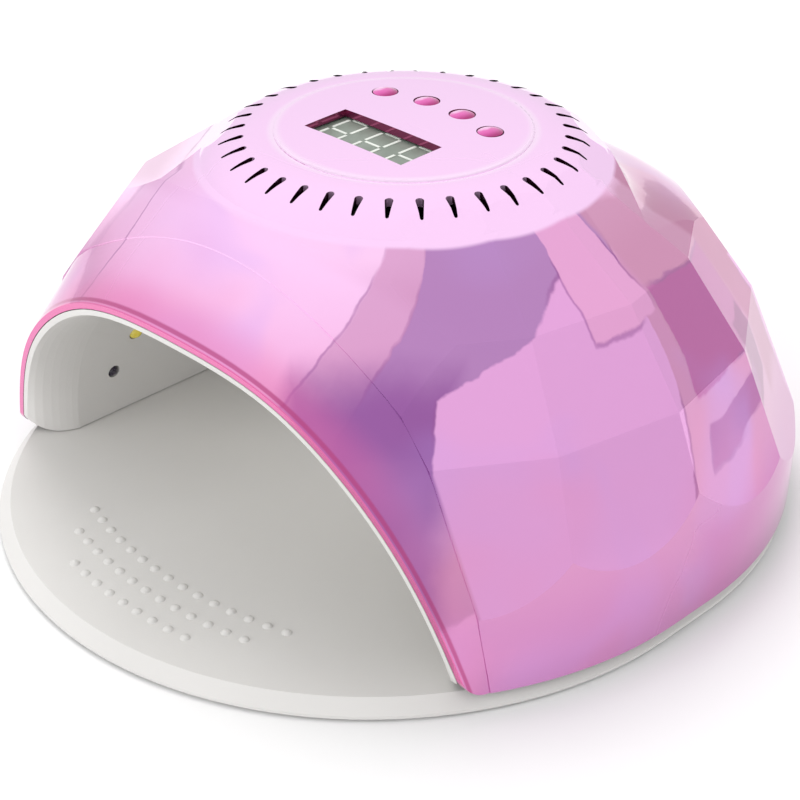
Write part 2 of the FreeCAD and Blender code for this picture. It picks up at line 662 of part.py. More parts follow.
def build_base_plate():
    """PartDesign plate with a bevelled rim, then the nubs and the recesses for feet and discs."""
    body = doc.addObject("PartDesign::Body", "PlateBody")
    plane = next(f for f in body.Origin.OriginFeatures if f.Role == "XY_Plane")
    sketch = body.newObject("Sketcher::SketchObject", "PlateOutline")
    sketch.AttachmentSupport = (plane, [""])
    sketch.MapMode = "FlatFace"
    radius, front, rear = size("plate_radius"), -size("plate_front"), size("plate_rear")
    up = Vector(0, 0, 1)
    rear_arc = sketch.addGeometry(
        Part.ArcOfCircle(Part.Circle(Vector(0, rear, 0), up, radius), 0, math.pi)
    )
    left = sketch.addGeometry(Part.LineSegment(Vector(-radius, rear, 0), Vector(-radius, front, 0)))
    front_arc = sketch.addGeometry(
        Part.ArcOfCircle(Part.Circle(Vector(0, front, 0), up, radius), math.pi, 2 * math.pi)
    )
    right = sketch.addGeometry(Part.LineSegment(Vector(radius, front, 0), Vector(radius, rear, 0)))
    ring = [rear_arc, left, front_arc, right]
    for this, following in zip(ring, ring[1:] + ring[:1]):
        sketch.addConstraint(Sketcher.Constraint("Tangent", this, 2, following, 1))
    origin, y_axis, centre = -1, -2, 3
    rear_radius = sketch.addConstraint(Sketcher.Constraint("Radius", rear_arc, radius))
    front_radius = sketch.addConstraint(Sketcher.Constraint("Radius", front_arc, radius))
    sketch.addConstraint(Sketcher.Constraint("PointOnObject", rear_arc, centre, y_axis))
    sketch.addConstraint(Sketcher.Constraint("PointOnObject", front_arc, centre, y_axis))
    rear_y = sketch.addConstraint(Sketcher.Constraint("DistanceY", origin, 1, rear_arc, centre, rear))
    front_y = sketch.addConstraint(Sketcher.Constraint("DistanceY", front_arc, centre, origin, 1, -front))
    for index, alias in (
        (rear_radius, "plate_radius"),
        (front_radius, "plate_radius"),
        (rear_y, "plate_rear"),
        (front_y, "plate_front"),
    ):
        sketch.setExpression(f"Constraints[{index}]", f"Sizes.{alias}")
    pad = body.newObject("PartDesign::Pad", "PlatePad")
    pad.Profile = sketch
    pad.setExpression("Length", "Sizes.plate_thick")
    doc.recompute()
    top = max(range(len(pad.Shape.Faces)), key=lambda k: pad.Shape.Faces[k].CenterOfMass.z)
    bevel = body.newObject("PartDesign::Chamfer", "PlateBevel")
    bevel.Base = (pad, [f"Face{top + 1}"])
    bevel.setExpression("Size", "Sizes.plate_bevel")

    nubs = []
    for row, (arc_radius, count) in enumerate(NUB_ROWS):
        for k in range(count):
            angle = (k - (count - 1) / 2) * NUB_PITCH / arc_radius
            x, y = arc_radius * math.sin(angle), NUB_CENTRE - arc_radius * math.cos(angle)
            nub = primitive("Sphere", f"Nub_{row}_{k}", at(x, y, 0), Radius="Sizes.nub_radius")
            nub.setExpression("Placement.Base.z", "Sizes.plate_thick - Sizes.nub_sink")
            nubs.append(nub)
    plate = fuse("PlateWithNubs", [body] + nubs)
    recesses = [
        cylinder(f"FootRecess_{k}", at(x, y, -1), "Sizes.foot_radius + 0.1", "Sizes.foot_recess + 1")
        for k, (x, y) in enumerate(FEET)
    ]
    for k, (x, y) in enumerate(MAGNETS):
        pocket = cylinder(f"DiscPocket_{k}", at(x, y, 0), "Sizes.disc_radius + 0.1", "Sizes.disc_thick + 1")
        pocket.setExpression("Placement.Base.z", "Sizes.plate_thick - Sizes.disc_thick")
        recesses.append(pocket)
    return cut("PlateFinished", plate, group("PlateRecesses", recesses))


publish(build_base_plate(), "base_plate")


def disc_group(name, places, radius, low, thick):
    """Equal upright discs; sizes and height are expressions."""
    discs = []
    for k, (x, y) in enumerate(places):
        disc = cylinder(f"{name}_{k}", at(x, y, 0), radius, thick)
        disc.setExpression("Placement.Base.z", low)
        discs.append(disc)
    return group(name, discs)


KEEPER_LOW = "Sizes.plate_thick - Sizes.disc_thick"
DISC_GROUPS = [
    # label, places, radius, lower face, thickness
    ("base_feet", FEET, "Sizes.foot_radius", "-Sizes.foot_height", "Sizes.foot_height + Sizes.foot_recess"),
    ("keeper_discs", MAGNETS, "Sizes.disc_radius", KEEPER_LOW, "Sizes.disc_thick"),
    ("housing_magnets", MAGNETS, "Sizes.disc_radius", "Sizes.plate_thick", "Sizes.magnet_thick"),
]
for label, places, radius, low, thick in DISC_GROUPS:
    publish(disc_group(f"{label}_solid", places, radius, low, thick), label)


# Screws ------------------------------------------------------------------------------------------------


def screw_group(name, places, shank, length, head, head_tall, low):
    """Screws, head down, standing on low; a cross recess in each head."""
    slot_long, slot_wide, slot_deep = str(head * 1.2), str(head * 0.26), str(head_tall * 0.6)
    screws = []
    for k, (x, y) in enumerate(places):
        cap_part = cylinder(f"{name}Head_{k}", at(x, y, low), str(head), str(head_tall))
        stem = cylinder(f"{name}Stem_{k}", at(x, y, low + head_tall), shank, str(length))
        screw = fuse(f"{name}Solid_{k}", [cap_part, stem])
        cross = group(f"{name}Cross_{k}", [
            box(f"{name}CrossX_{k}", x, y, low - 0.01, slot_long, slot_wide, slot_deep),
            box(f"{name}CrossY_{k}", x, y, low - 0.01, slot_wide, slot_long, slot_deep),
        ])
        screws.append(cut(f"{name}_{k}", screw, cross))
    return group(name, screws)


BOARD_LOW = size("board_top") - size("board_thick")
SHELL_HEAD_TALL, SHELL_HEAD_RADIUS = 1.7, 2.9
BOARD_HEAD_TALL, BOARD_HEAD_RADIUS = 1.5, 2.4
shell_screw_low = size("shell_floor") + 0.1
shell_screw_long = shell_screw_top() - shell_screw_low - SHELL_HEAD_TALL - 0.4
publish(
    screw_group(
        "ShellScrews", SCREWS, "Sizes.shell_screw", shell_screw_long,
        SHELL_HEAD_RADIUS, SHELL_HEAD_TALL, shell_screw_low,
    ),
    "shell_screws",
)
publish(
    screw_group(
        "BoardScrews", PILLARS, "Sizes.board_screw", size("board_thick") + PILLAR_HOLE - 1.0,
        BOARD_HEAD_RADIUS, BOARD_HEAD_TALL, BOARD_LOW - BOARD_HEAD_TALL,
    ),
    "board_screws",
)


# Control board and what is on it -----------------------------------------------------------------------


def build_control_board():
    plate = box("BoardPlate", 0, 0, BOARD_LOW, "Sizes.board_long", "Sizes.board_wide", "Sizes.board_thick")
    radius, deep = "Sizes.board_screw + 0.2", "Sizes.board_thick + 2"
    drills = [
        cylinder(f"BoardDrill_{k}", at(x, y, BOARD_LOW - 1), radius, deep) for k, (x, y) in enumerate(PILLARS)
    ]
    return cut("Board", plate, group("BoardDrills", drills))


publish(build_control_board(), "control_board")
WINDOW_Y = size("window_mid")
publish(
    box("Display", 0, WINDOW_Y, size("board_top"), "Sizes.display_long", "Sizes.display_wide",
        "Sizes.display_tall"),
    "display_body",
)


BAR_GAP = 0.35
PIN_PITCH = 2.54
PIN_ROWS_APART = 15.24
PINS_IN_ROW = 6


def build_display_segments():
    """Three seven-segment digits: thin bars that stand a little above the display's face."""
    tall, wide, bar = size("digit_tall"), size("digit_wide"), "Sizes.bar_wide"
    gap = BAR_GAP + size("bar_wide") / 2
    across, along = f"{wide - 2 * gap}", f"{tall / 2 - 2 * gap}"
    bars = []
    for digit in (-1, 0, 1):
        x = digit * size("digit_pitch")
        for row in (-1, 0, 1):
            bars.append((x, WINDOW_Y + row * tall / 2, across, bar))
        for side in (-1, 1):
            for row in (-1, 1):
                bars.append((x + side * wide / 2, WINDOW_Y + row * tall / 4, bar, along))
    return group("Segments", [
        box(f"Segment_{k}", x, y, FACE_TOP, long_x, long_y, "Sizes.bar_tall")
        for k, (x, y, long_x, long_y) in enumerate(bars)
    ])


publish(build_display_segments(), "display_segments")


def build_display_pins():
    """Solder ends of the display's two rows of pins, under the board."""
    wide, tall = 0.5, 1.6
    pins = []
    for row in (-1, 1):
        for k in range(PINS_IN_ROW):
            x, y = (k - (PINS_IN_ROW - 1) / 2) * PIN_PITCH, WINDOW_Y + row * PIN_ROWS_APART / 2
            pins.append(box(f"Pin_{row + 1}_{k}", x, y, BOARD_LOW - tall, f"{wide}", f"{wide}", f"{tall}"))
    return group("Pins", pins)


publish(build_display_pins(), "display_pins")

SWITCH_SIDE, SWITCH_TALL = 6.0, 3.6
PLUNGER_LOW = size("board_top") + 1.6
FLANGE_THICK = 1.0
CAP_LOW = CAP_MIDDLE - size("shell_wall") - 0.6 - FLANGE_THICK    # underside of a button's flange
SHAFT_TOP = PANEL_TOP + 0.1
CROWN = 0.9          # rise of a button's dome above its shaft


def build_switch_bodies():
    """Square tactile switches, each with a well for its plunger."""
    switches = []
    side, tall = f"{SWITCH_SIDE}", f"{SWITCH_TALL}"
    for k, (x, y) in enumerate(BUTTONS):
        case = box(f"SwitchCase_{k}", x, y, size("board_top"), side, side, tall)
        floor = at(x, y, PLUNGER_LOW - 0.3)
        floor.Base.z -= size("button_travel")
        well = cylinder(f"SwitchWell_{k}", floor, "Sizes.plunger_radius + 0.3", tall)
        switches.append(cut(f"Switch_{k}", case, well))
    return group("Switches", switches)


publish(build_switch_bodies(), "switch_bodies")


def build_button(number, x, y):
    """Domed cap on a flange that stays under the panel."""
    low = at(x, y, CAP_LOW)
    flange = cylinder(f"Flange_{number}", low, "Sizes.button_flange", f"{FLANGE_THICK}")
    shaft = cylinder(f"Shaft_{number}", low, "Sizes.button_radius", f"{SHAFT_TOP - CAP_LOW}")
    ball_radius = (size("button_radius") ** 2 + CROWN ** 2) / (2 * CROWN)
    ball_middle = at(x, y, SHAFT_TOP + CROWN - ball_radius)
    ball = primitive("Sphere", f"Ball_{number}", ball_middle, Radius=f"{ball_radius}")
    column = cylinder(f"Column_{number}", low, "Sizes.button_radius", f"{SHAFT_TOP + 2 * CROWN - CAP_LOW}")
    dome_part = doc.addObject("Part::MultiCommon", f"Dome_{number}")
    dome_part.Shapes = [ball, column]
    return fuse(f"Button_{number}", [flange, shaft, dome_part])


plunger_tall = f"{CAP_LOW - PLUNGER_LOW}"
for number, (x, y) in enumerate(BUTTONS, start=1):
    publish(build_button(number, x, y), f"timer_button_{number}")
    plunger = cylinder(f"Plunger_{number}", at(x, y, PLUNGER_LOW), "Sizes.plunger_radius", plunger_tall)
    publish(plunger, f"switch_plunger_{number}")


def hung_box(name, x, y, long_x, long_y, tall):
    """A component on the board's underside."""
    return box(name, x, y, BOARD_LOW - tall, str(long_x), str(long_y), str(tall))


def hung_can(name, x, y, radius, tall):
    return cylinder(name, at(x, y, BOARD_LOW - tall), str(radius), str(tall))


publish(hung_box("Chip", 0, 4, 7.5, 10, 2.2), "controller_chip")
transistors = [
    hung_box(f"Transistor_{k}", 18 + 9 * (k % 2), 2 + 10 * (k // 2), 6.5, 6.1, 2.3) for k in range(4)
]
publish(group("Transistors", transistors), "driver_transistors")
capacitors = [hung_can(f"Capacitor_{k}", -22, -4 + 12 * k, 4.0, 11.0) for k in range(2)]
publish(group("Capacitors", capacitors), "smoothing_capacitors")
publish(hung_can("Inductor", 28, -14, 5.5, 6.5), "driver_inductor")
resistors = [hung_box(f"Resistor_{k}", -12 + 4 * k, -12, 2.0, 1.25, 0.6) for k in range(9)]
publish(group("Resistors", resistors), "chip_resistors")

CONNECTORS = {
    "power": (0.0, 24.0),
    "led_front": (-22.0, -24.0),
    "led_middle": (14.0, -20.0),
    "led_rear": (-12.0, 20.0),
    "sensor_left": (-38.0, 4.0),
    "sensor_right": (38.0, 4.0),
}
HEADER_TALL = 4.0
PLUG_TALL = 5.0
PLUG_LOW = BOARD_LOW - HEADER_TALL - PLUG_TALL
headers = []
plugs = []
for name, (x, y) in CONNECTORS.items():
    headers.append(hung_box(f"Header_{name}", x, y, 6.4, 4.6, HEADER_TALL))
    plugs.append(box(f"Plug_{name}", x, y, PLUG_LOW, "5.4", "3.8", str(PLUG_TALL)))
publish(group("Headers", headers), "board_connectors")
publish(group("Plugs", plugs), "lead_plugs")


# Lamps -------------------------------------------------------------------------------------------------

CHIP_LOW = size("liner_wall") + 0.2                    # chip's face, outside the tunnel's surface
STRIP_LOW = CHIP_LOW + size("chip_thick") + 0.15       # the bent strip clears the chips' corners
STRIP_TOP = STRIP_LOW + size("strip_thick")
STRIP_MARGIN = 0.1   # radians of strip beyond its first and last lamp
LAMP_RISE = 1.6      # rise of a lamp's dome into the tunnel


def build_lens():
    """Round barrel with a half-ball end, standing on z = 0."""
    radius = size("lamp_radius")
    tip = CHIP_LOW + LAMP_RISE
    shoulder = tip - radius
    middle = Vector(radius * math.sin(math.pi / 4), 0, shoulder + radius * math.cos(math.pi / 4))
    return turn_about_z([
        line(Vector(), Vector(radius, 0, 0)),
        line(Vector(radius, 0, 0), Vector(radius, 0, shoulder)),
        arc(Vector(radius, 0, shoulder), middle, Vector(0, 0, tip)),
        line(Vector(0, 0, tip), Vector()),
    ])


def build_lenses():
    """One yellow dome per lamp, poking through the tunnel wall."""
    lens = build_lens()
    lenses = []
    for here, normal in lamp_places():
        copy = lens.copy()
        copy.Placement = at(*(here + normal * CHIP_LOW), axis=normal * -1)
        lenses.append(copy)
    return Part.makeCompound(lenses)


def build_chips():
    side, thick = size("chip_side"), size("chip_thick")
    chips = []
    for here, normal in lamp_places():
        chip = Part.makeBox(side, side, thick, Vector(-side / 2, -side / 2, 0))
        chip.Placement = at(*(here + normal * CHIP_LOW), axis=normal)
        chips.append(chip)
    return Part.makeCompound(chips)


def build_strip(y, count):
    """Thin flexible board bent over the tunnel, behind one row of lamps."""
    first = lamp_angles(count)[0] - STRIP_MARGIN
    faces = []
    for out in (STRIP_LOW, STRIP_TOP):
        points = []
        for k in range(RAYS + 1):
            here, normal = wall_point(first + (math.pi - 2 * first) * k / RAYS)
            points.append(Vector(here.x, y - size("strip_wide") / 2, here.z) + normal * out)
        faces.append(points)
    inner, outer = faces
    wire = Part.Wire([spline(inner), line(inner[-1], outer[-1]), spline(outer), line(outer[0], inner[0])])
    return Part.Face(wire).extrude(Vector(0, size("strip_wide"), 0))


publish_shape(build_lenses(), "led_lenses")
publish_shape(build_chips(), "led_chips")
for name, y, count in LAMP_ROWS:
    publish_shape(build_strip(y, count), f"led_strip_{name}")


# Hand sensor -------------------------------------------------------------------------------------------

SENSOR_TIP = size("tunnel_half") + 0.3      # centre of a lens's round end, from the middle plane
SENSOR_BOARD = size("tunnel_half") + 5.2    # inner face of a sensor's board
COLLAR_THICK = 1.0
CARD_THICK, CARD_WIDE, CARD_TALL = 1.2, 11.0, 13.0
CARD_DROP = 4.5                             # the card's lower edge, below the lens


def build_sensor_lens(name, side):
    """Round-nosed lens with a collar against its board, pointing into the tunnel."""
    y, z = size("sensor_y"), size("sensor_z")
    outward = Vector(side, 0, 0)
    nose = at(side * SENSOR_TIP, y, z, outward)
    barrel = cylinder(f"{name}_barrel", nose, "Sizes.sensor_radius", f"{SENSOR_BOARD - SENSOR_TIP}")
    tip = primitive("Sphere", f"{name}_tip", at(side * SENSOR_TIP, y, z), Radius="Sizes.sensor_radius")
    collar_place = at(side * (SENSOR_BOARD - COLLAR_THICK), y, z, outward)
    collar = cylinder(f"{name}_collar", collar_place, "Sizes.sensor_radius + 0.4", f"{COLLAR_THICK}")
    return fuse(f"{name}_solid", [barrel, tip, collar])


for side, lens, card in ((-1, "ir_emitter", "sensor_board_left"), (1, "ir_receiver", "sensor_board_right")):
    publish(build_sensor_lens(lens, side), lens)
    middle = side * (SENSOR_BOARD + CARD_THICK / 2)
    card_low = size("sensor_z") - CARD_DROP
    sides = (f"{CARD_THICK}", f"{CARD_WIDE}", f"{CARD_TALL}")
    publish(box(f"{card}_solid", middle, size("sensor_y"), card_low, *sides), card)


# Inlet -------------------------------------------------------------------------------------------------

JACK_SEAT, JACK_Z = size("jack_seat"), size("jack_z")
PAD_FRONT = JACK_SEAT - PAD_THICK / 2
BLOCK_START, BLOCK_LONG, BLOCK_RADIUS = 9.0, 5.0, 3.2
PLUG_DEEP = 9.0      # how far a plug goes in behind the flange's seat


def build_jack():
    """Panel inlet: flange outside, threaded barrel through the wall, contact block inside."""
    seat = at(0, JACK_SEAT, JACK_Z, BACK * -1)
    flange = cylinder("JackFlange", at(0, JACK_SEAT, JACK_Z, BACK), "5.6", "1.6")
    barrel = cylinder("JackBarrel", seat, "Sizes.jack_thread", "11")
    block_end = at(0, JACK_SEAT - BLOCK_START, JACK_Z, BACK * -1)
    block = cylinder("JackBlock", block_end, f"{BLOCK_RADIUS}", f"{BLOCK_LONG}")
    mouth = at(0, JACK_SEAT + 3, JACK_Z, BACK * -1)
    hole = cylinder("JackBore", mouth, "Sizes.jack_bore", f"{PLUG_DEEP + 3}")
    return cut("Jack", fuse("JackSolid", [flange, barrel, block]), hole)


def build_jack_nut():
    seat = at(0, PAD_FRONT, JACK_Z, BACK * -1)
    nut = primitive("Prism", "JackNutHex", seat, Circumradius="6", Height="2.2")
    nut.Polygon = 6
    hole = cylinder("JackNutHole", at(0, PAD_FRONT + 1, JACK_Z, BACK * -1), "Sizes.jack_thread", "6")
    return cut("JackNut", nut, hole)


publish(build_jack(), "dc_jack")
publish(cylinder("JackPin", at(0, JACK_SEAT - PLUG_DEEP, JACK_Z, BACK), "1.0", "8"), "dc_jack_pin")
publish(build_jack_nut(), "dc_jack_nut")


# Internal leads ----------------------------------------------------------------------------------------

BEND_SHARE = 0.45


def lead(label, points):
    """A round lead along straight runs joined by tangent arcs as large as the runs allow."""
    points = [Vector(*p) for p in points]
    runs = [b - a for a, b in zip(points, points[1:])]
    edges, start, radii = [], points[0], []
    for corner, before, after in zip(points[1:], runs, runs[1:]):
        half_turn = before.getAngle(after) / 2
        radius = BEND_SHARE * min(before.Length, after.Length) / math.tan(half_turn)
        reach = radius * math.tan(half_turn)
        into = corner - before.normalize() * reach
        out = corner + Vector(after).normalize() * reach
        bisector = (into + out) * 0.5 - corner
        middle = corner + bisector.normalize() * (radius / math.cos(half_turn) - radius)
        edges.append(line(start, into))
        edges.append(arc(into, middle, out))
        start = out
        radii.append(round(radius, 1))
    edges.append(line(start, points[-1]))
    path = Part.Wire(edges)
    ring = Part.Wire(Part.makeCircle(size("lead_radius"), points[0], points[1] - points[0]))
    tube = path.makePipeShell([ring], True, True)
    section = math.pi * size("lead_radius") ** 2
    print(label, "bend radii", radii, "volume share", round(tube.Volume / (section * path.Length), 3))
    publish_shape(tube, label)


JACK_TAIL = JACK_SEAT - BLOCK_START - BLOCK_LONG
STRIP_CROWN = size("tunnel_top") + STRIP_TOP
LEAD_SPACING = 3.0
for label, shift in (("power_lead_red", LEAD_SPACING / 2), ("power_lead_black", -LEAD_SPACING / 2)):
    lead(label, [
        (shift, JACK_TAIL, JACK_Z),
        (shift, JACK_TAIL - 3.2, JACK_Z),
        (shift, JACK_TAIL - 3.6, JACK_Z + 14),
        (shift, 92, 50),
        (shift, 76, 72),
        (shift, 52, 85),
        (shift, 34, 82),
        (shift, 24, 82.5),
        (shift, 24, PLUG_LOW),
    ])
solder_z = STRIP_CROWN + 0.3 + size("lead_radius")
for name, y, _ in LAMP_ROWS:
    x, start_y = CONNECTORS[f"led_{name}"]
    lead(f"led_lead_{name}", [
        (x, start_y, PLUG_LOW),
        (x, start_y, PLUG_LOW - 5),
        (x * 0.85, start_y + (y - start_y) * 0.8, STRIP_CROWN + 4),
        (x * 0.6, y, solder_z),
        (x * 0.2, y, solder_z),
    ])
for side, name in ((-1, "left"), (1, "right")):
    x, y = CONNECTORS[f"sensor_{name}"]
    lead(f"sensor_lead_{name}", [
        (x, y, PLUG_LOW),
        (x, y, PLUG_LOW - 6),
        (side * 50, -4, 76),
        (side * 68, -16, 64),
        (side * 84, -34, 48),
        (side * 90, -46, 36),
        (side * (SENSOR_BOARD + 2.2), size("sensor_y"), size("sensor_z") + 6),
    ])


# Write the sub-parts -----------------------------------------------------------------------------------

doc.recompute()
os.makedirs("parts", exist_ok=True)
for feature in doc.Objects:
    if "Invalid" in feature.State or "Error" in feature.State:
        raise RuntimeError(f"{feature.Label} did not recompute: {feature.State}")
for feature in SUB_PARTS:
    shape = feature.Shape
    if shape.isNull() or not shape.isValid():
        raise RuntimeError(f"{feature.Label} has no valid shape")
    shape.exportStep(f"parts/{feature.Label}.step")
    print(feature.Label, len(shape.Solids), "solid(s)", round(shape.Volume, 1), "mm3")
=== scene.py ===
import math
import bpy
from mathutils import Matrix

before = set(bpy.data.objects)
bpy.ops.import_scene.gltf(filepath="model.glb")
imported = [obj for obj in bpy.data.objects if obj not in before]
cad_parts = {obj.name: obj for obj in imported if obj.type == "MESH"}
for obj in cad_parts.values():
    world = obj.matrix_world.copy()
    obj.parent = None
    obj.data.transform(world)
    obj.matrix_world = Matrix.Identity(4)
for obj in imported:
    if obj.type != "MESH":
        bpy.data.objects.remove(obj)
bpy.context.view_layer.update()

from types import SimpleNamespace

import bpy
from mathutils import Vector

# The camera stands where the lamp was seen from, in the row frame, in metres. Lens and sensor are in
# millimetres.
CAMERA_PLACE = (0.36896, -0.36793, 0.33493)
CAMERA_TILT = math.radians(59.29)
CAMERA_TURN = math.radians(45.0)
CAMERA_LENS = 90.18
CAMERA_SENSOR = 36.0
WORLD_STRENGTH = 0.96
FLOOR_HALF = 6.0
TUNNEL_LIGHT_PLACE = (0.0, 0.0, 0.070)

# The shell's own measures, in metres. The arch's edge lies in a plane that leans forward with height,
# by ARCH_LEAN for each unit of height.
ARCH_FRONT = 0.0735
ARCH_LEAN = 0.17
ARCH_BASE = 0.004
DOME_OFFSET = 0.00264
FOOT_HEIGHT = 0.001
DOME_RADIUS = 0.105
CREASE_FRONT = 0.067
DISC_EDGE = 0.0368     # the ring on the top, round the display and the buttons
# Painted shade on the walls of the window and the button holes: a shaded rose above this height, a darker
# shadow below.
WALL_ROSE = 0.1126     # the window's and button holes' walls are rose above this height, dark below


def node(tree, kind, inputs=None, **settings):
    """A shader node, with its inputs set to numbers or linked to sockets."""
    made = tree.nodes.new(kind)
    for name, value in settings.items():
        setattr(made, name, value)
    for name, value in (inputs or {}).items():
        socket = made.inputs[name]
        if isinstance(value, bpy.types.NodeSocket):
            tree.links.new(value, socket)
        else:
            socket.default_value = value
    return made


def rgba(colour):
    return (*colour, 1.0)


def from_screen(red, green, blue):
    """A colour as a screen shows it, 0 to 255, in the shader's linear terms."""
    shares = (red / 255, green / 255, blue / 255)
    return tuple(c / 12.92 if c < 0.04 else ((c + 0.055) / 1.055) ** 2.4 for c in shares)


def math_node(tree, operation, first, second=0.0):
    return node(tree, "ShaderNodeMath", {0: first, 1: second}, operation=operation).outputs[0]


def add(tree, first, second):
    return math_node(tree, "ADD", first, second)


def minus(tree, first, second):
    return math_node(tree, "SUBTRACT", first, second)


def times(tree, first, *others):
    for other in others:
        first = math_node(tree, "MULTIPLY", first, other)
    return first


def step(tree, value, low, high):
    """Goes smoothly from 0 at low to 1 at high."""
    made = node(
        tree, "ShaderNodeMapRange",
        {"Value": value, "From Min": low, "From Max": high},
        interpolation_type="SMOOTHSTEP",
    )
    return made.outputs["Result"]


def remap(tree, value, low, high):
    """Takes 0 to low and 1 to high."""
    made = node(tree, "ShaderNodeMapRange", {"Value": value, "To Min": low, "To Max": high})
    return made.outputs["Result"]


def noise(tree, place, scale, detail=3.0, roughness=0.5, distortion=0.0):
    made = node(
        tree, "ShaderNodeTexNoise",
        {"Vector": place, "Scale": scale, "Detail": detail, "Roughness": roughness, "Distortion": distortion},
    )
    return made.outputs["Fac"]


def mix(tree, amount, first, second):
    inputs = {"Fac": amount}
    for name, colour in (("Color1", first), ("Color2", second)):
        inputs[name] = colour if isinstance(colour, bpy.types.NodeSocket) else rgba(colour)
    return node(tree, "ShaderNodeMixRGB", inputs).outputs["Color"]


def bump(tree, height, distance, strength=1.0):
    inputs = {"Height": height, "Distance": distance, "Strength": strength}
    return node(tree, "ShaderNodeBump", inputs).outputs["Normal"]


def vector_math(tree, operation, first, second=(0.0, 0.0, 0.0)):
    return node(tree, "ShaderNodeVectorMath", {0: first, 1: second}, operation=operation).outputs


def split_place(tree, place):
    made = node(tree, "ShaderNodeSeparateXYZ", {"Vector": place})
    return made.outputs["X"], made.outputs["Y"], made.outputs["Z"]


def new_material(name):
    """A material with an empty shader, and its object-space place."""
    material = bpy.data.materials.new(name)
    material.use_nodes = True
    tree = material.node_tree
    tree.nodes.clear()
    shader = tree.nodes.new("ShaderNodeBsdfPrincipled")
    output = tree.nodes.new("ShaderNodeOutputMaterial")
    tree.links.new(shader.outputs["BSDF"], output.inputs["Surface"])
    place = node(tree, "ShaderNodeTexCoord").outputs["Object"]
    return material, tree, shader, place


def connect(tree, shader, **sockets):
    """Sets the shader's sockets, whose names have spaces where these have underscores."""
    for name, value in sockets.items():
        socket = shader.inputs[name.replace("_", " ")]
        if isinstance(value, bpy.types.NodeSocket):
            tree.links.new(value, socket)
        else:
            socket.default_value = value


# The shell's plating. Its shades are as a screen shows them.
SKIRT_ROSE = from_screen(206, 137, 189)
FACET_ROSE = from_screen(212, 146, 190)
# Painted highlights: the top, and the smooth front towards its top, are paler as if lit from above.
TOP_HIGHLIGHT_PINK = from_screen(252, 204, 244)
FRONT_ROSE = from_screen(236, 138, 194)
FRONT_HIGHLIGHT = from_screen(255, 206, 249)
BLUE_SHEEN_DRIFT = from_screen(196, 160, 240)
BLUE_SHEEN = from_screen(196, 166, 246)
ROSY_SHEEN = from_screen(244, 150, 190)
# A painted dark outline along the edges of the crisp painted reflections.
REFLECTION_OUTLINE = from_screen(150, 80, 150)
CAP_HIGHLIGHT = from_screen(252, 210, 250)
RING_GLINT = from_screen(255, 238, 254)
ARCH_ROSE = from_screen(226, 104, 168)
ARCH_LINE = from_screen(178, 58, 122)
ARCH_LIP_REFLECTION = from_screen(228, 112, 172)
# Painted shade on the faces that look inwards: dark, where the inside also has no plating; a shaded rose high
# on the window's and button holes' walls.
UNPLATED_AND_SHADOW_DARK = from_screen(52, 12, 34)
SHADED_WALL_ROSE = from_screen(150, 54, 100)

# Where one shade gives way to the next, in metres: at the first number there is still none of it.
# Heights.
FACETS_OVER_SKIRT = (0.022, 0.046)
TOP_OVER_FACETS = (0.094, 0.104)
FRONT_GROWS_PALE = (0.064, 0.098)
FRONT_ABOVE_SIDES = (0.050, 0.075)   # at the middle; it rises towards the sides
CAP_HEIGHTS = (0.090, 0.100)
RING_HEIGHTS = (0.100, 0.105)
ARCH_DEEPENS = (0.045, 0.075)
# Places along X and, at height nought, along Y.
LEFT_TO_RIGHT = (-0.030, 0.000)
FRONT_DEPTH = (0.042, 0.030)
# Distances from the dome's axis, from the ring and from the arch's edge.
CAP_REACH = (0.0602, 0.0588)
RING_WIDTH = (0.0026, 0.0002)
ARCH_REACH = (0.0130, 0.0020)
LINE_STARTS = (0.0006, 0.0010)
LINE_ENDS = (0.0022, 0.0016)
LIP_REACH = (0.0005, 0.0002)
# Distances inside a painted reflection, for the painted dark outline along its edge.
RIM_OUTSIDE = (-0.0012, -0.0004)
RIM_INSIDE = (0.0006, -0.0002)
# How far from the dome's middle a face's plane passes: low for the walls of holes and for the inside.
FACES_INWARD = (0.034, 0.026)
# The upward part of the normal: the facets lean back further than the skirt.
FACETS_TILT = (0.22, 0.28)
SHEEN_TILT = (0.18, 0.26)

# How strong each shade is, as a share.
FRONT_WEIGHT = 0.90
DRIFT_WEIGHT = 0.22
SHEEN_WEIGHT = 0.20
GLINT_WEIGHT = 0.55
LINE_WEIGHT = 0.75
RIM_WEIGHT = 0.55
ARCH_WEIGHTS = (0.10, 0.38)   # low and high on the arch
LEFT_SHARE = 0.12             # of the patches at the front, on the left side
LEFT_BLUE = 0.35              # of the bluish drift, there

# The patches' borders and the smooth front's.
FRONT_LEAN = 0.9              # how fast the smooth front's border comes forward with height
SIDES_LEAN = -0.25            # how fast its lower border rises towards the sides
HEIGHT_DRIFT = 0.012          # how far the soft cloud moves a border, in metres
TURN_WAVE = 15.0              # scales of the waves that bend the patches' edges
HEIGHT_WAVE = 17.0
TURN_REACH = 0.110            # how far those waves go: radians, then metres
HEIGHT_REACH = 0.010
RAGGED = 0.14                 # how ragged a patch's edge is, as a share of its long wave
RAGGED_FINER = 9.0            # how many times finer that raggedness is than the wave
RIM_SOFT = 0.001              # patches with an edge crisper than this get a thin dark outline
LEAN_HEIGHT = 0.095           # where a leaning patch is at its stated turns
LEFT_PALE_TURN = -42.0        # patches that begin before this turn are those at the front
